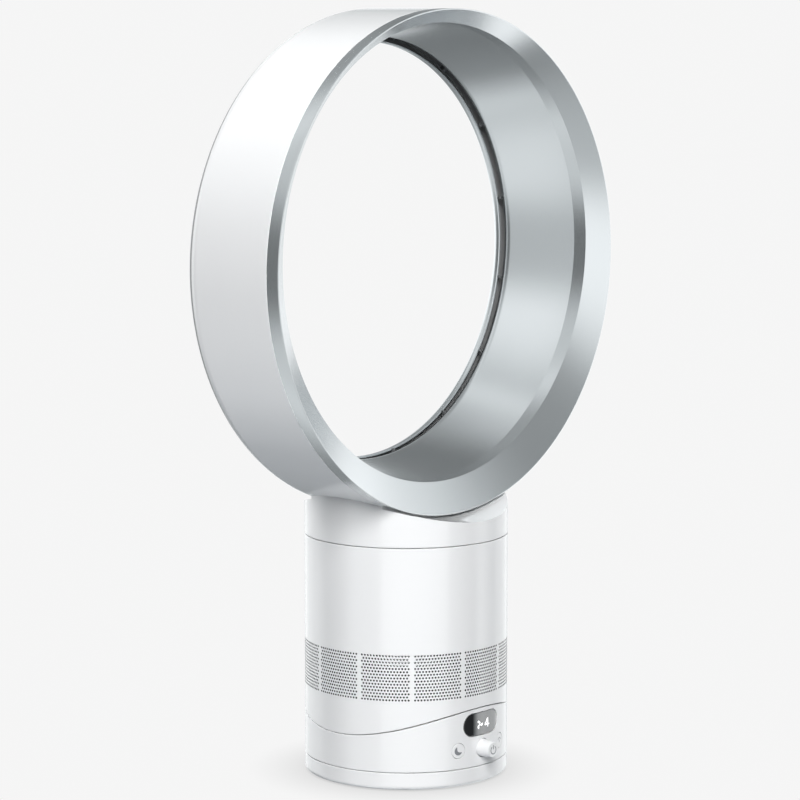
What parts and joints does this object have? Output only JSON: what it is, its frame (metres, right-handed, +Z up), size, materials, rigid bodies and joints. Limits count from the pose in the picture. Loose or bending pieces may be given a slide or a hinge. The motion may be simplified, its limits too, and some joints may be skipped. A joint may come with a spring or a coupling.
{
  "type": "bladeless fan",
  "caption": "Desk fan with a hollow air ring on a perforated motor body that tilts, a turning foot, and a control base with a display, a dial and push buttons.",
  "frame": {"origin": "on the vertical axis of the foot and the body, at the surface that the fan stands on", "axes": "+Z up, -Y the front that the air leaves by, +X to the right seen from the front"},
  "size_m": [0.356, 0.1644, 0.547],
  "materials": {
    "white_gloss": "high gloss",
    "silver_liner": "metallic silver, satin gloss",
    "black_glass": "high gloss",
    "display_light": "lit white",
    "inner_white": "satin",
    "inner_grey": "matte",
    "impeller_black": "satin",
    "gear_ivory": "satin",
    "rubber": "matte",
    "foam": "open foam",
    "steel": "brushed",
    "copper": "enamelled wire",
    "circuit_board": "solder mask"
  },
  "bodies": {
    "foot": {"rubber_feet": "rubber", "base_plate": "steel", "foot_shell": "white_gloss", "foot_screws": "steel", "ring_gear": "gear_ivory", "gear_screws": "steel", "pivot_post": "inner_white", "pivot_collar": "steel", "glide_ring": "gear_ivory", "cord_gland": "white_gloss"},
    "control_base": {"control_housing": "white_gloss", "turret_floor": "inner_white", "turret_screws": "steel", "tilt_saddle": "inner_white", "tilt_glides": "gear_ivory", "display_window": "black_glass", "display_segments": "display_light", "display_board": "circuit_board", "control_board": "circuit_board", "encoder_body": "inner_grey", "button_switches": "inner_grey", "oscillation_motor": "steel", "motor_screws": "steel"},
    "pinion": {"oscillation_pinion": "gear_ivory"},
    "sleep_key": {"sleep_button": "white_gloss"},
    "oscillation_key": {"oscillation_button": "white_gloss"},
    "encoder_rotor": {"dial_rotor": "inner_grey"},
    "dial": {"power_dial": "white_gloss"},
    "tilting_body": {"body_shell": "white_gloss", "tilt_plate": "inner_white", "tilt_runners": "steel", "runner_screws": "steel", "silencer_foam": "foam", "motor_board": "circuit_board", "inlet_plate": "inner_white", "inlet_seal": "rubber", "duct_mounts": "rubber", "impeller_shroud": "inner_white", "motor_bucket": "inner_white", "lower_bearing": "steel", "upper_bearing": "steel", "bucket_cap": "inner_white", "cap_screws": "steel", "stator_core": "steel", "stator_coils": "copper", "nose_cone": "inner_white", "body_collar": "inner_white", "outlet_seal": "rubber"},
    "impeller_rotor": {"impeller": "impeller_black", "motor_shaft": "steel", "rotor_magnet": "steel"},
    "air_ring": {"loop_casing": "white_gloss", "loop_liner": "silver_liner", "loop_seal": "rubber", "slot_spacers": "silver_liner", "flow_splitter": "inner_white", "nozzle_adapter": "inner_white", "adapter_screws": "steel"}
  },
  "joints": [
    {"name": "oscillation", "type": "hinge", "parent": "foot", "child": "control_base", "pos_m": [0, 0, 0.0133], "axis": [0, 0, 1], "range_deg": [-45, 45]},
    {"name": "pinion_spin", "type": "hinge", "parent": "control_base", "child": "pinion", "pos_m": [0, 0.03, 0.007], "axis": [0, 0, 1], "range_deg": [-180, 180]},
    {"name": "tilt", "type": "hinge", "parent": "control_base", "child": "tilting_body", "pos_m": [0, 0, 0.1982], "axis": [1, 0, 0], "range_deg": [-10, 10]},
    {"name": "sleep_press", "type": "slide", "parent": "control_base", "child": "sleep_key", "axis": [0.3057, 0.9521, 0], "range_m": [0, 0.0008], "stiffness_N_per_m": 500, "springref_m": -0.0005},
    {"name": "oscillation_press", "type": "slide", "parent": "control_base", "child": "oscillation_key", "axis": [-0.3057, 0.9521, 0], "range_m": [0, 0.0008], "stiffness_N_per_m": 500, "springref_m": -0.0005},
    {"name": "dial_turn", "type": "hinge", "parent": "control_base", "child": "encoder_rotor", "pos_m": [0, -0.06, 0.026], "axis": [0, 1, 0], "continuous": true},
    {"name": "dial_press", "type": "slide", "parent": "encoder_rotor", "child": "dial", "axis": [0, 1, 0], "range_m": [0, 0.0006], "stiffness_N_per_m": 800, "springref_m": -0.0005},
    {"name": "impeller_spin", "type": "hinge", "parent": "tilting_body", "child": "impeller_rotor", "pos_m": [0, 0, 0.14], "axis": [0, 0, 1], "continuous": true},
    {"name": "nozzle_twist", "type": "hinge", "parent": "tilting_body", "child": "air_ring", "pos_m": [0, 0, 0.1735], "axis": [0, 0, 1], "range_deg": [0, 24]}
  ],
  "couplings": [
    {"joint": "pinion_spin", "follows": "oscillation", "ratio": -4}
  ]
}
